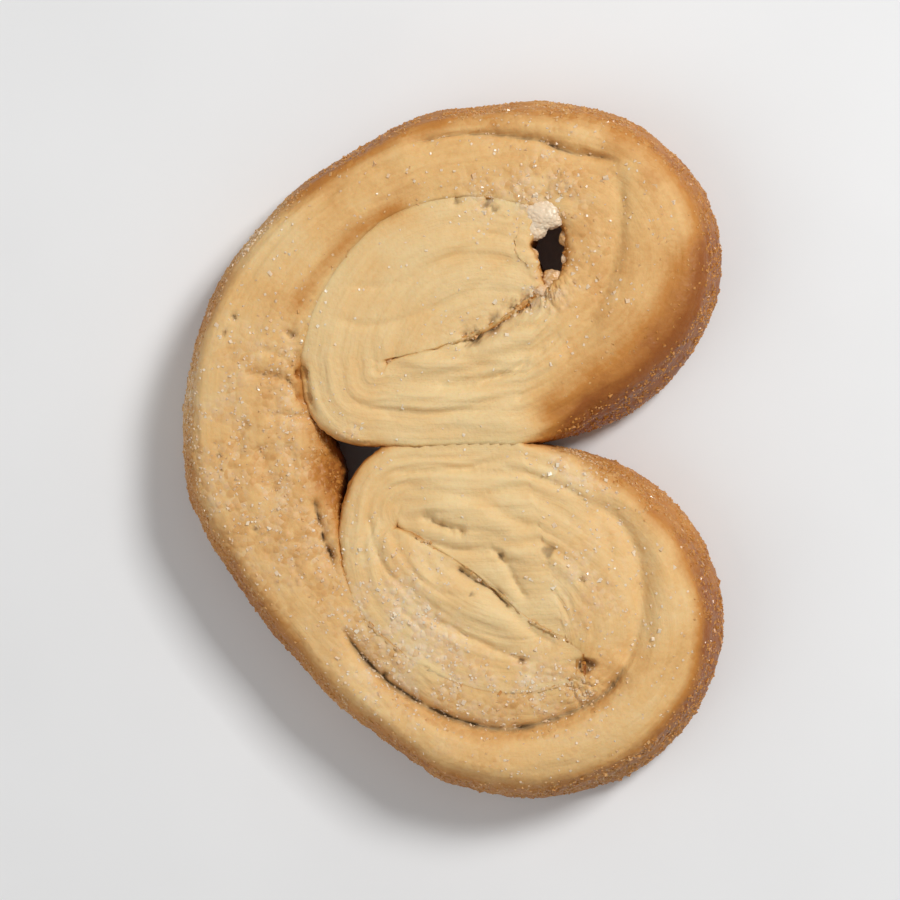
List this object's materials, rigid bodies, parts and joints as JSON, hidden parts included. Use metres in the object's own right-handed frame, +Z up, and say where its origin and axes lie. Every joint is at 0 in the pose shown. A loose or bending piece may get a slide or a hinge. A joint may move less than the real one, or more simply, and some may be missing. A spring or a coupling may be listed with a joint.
{
  "type": "palmier pastry",
  "caption": "Heart-shaped puff pastry folded from one strip of sugared dough that coils in from both sides, with an open cleft, lying flat.",
  "frame": {"origin": "centre of the palmier's box, on the surface it lies on", "axes": "+Z up from the flat underside, +Y towards the upper lobe, +X out of the cleft between the lobes"},
  "size_m": [0.058, 0.0746, 0.0115],
  "materials": {
    "baked_pastry": "matte",
    "sugar": "satin"
  },
  "bodies": {
    "root": {"palmier": "baked_pastry"}
  },
  "joints": []
}
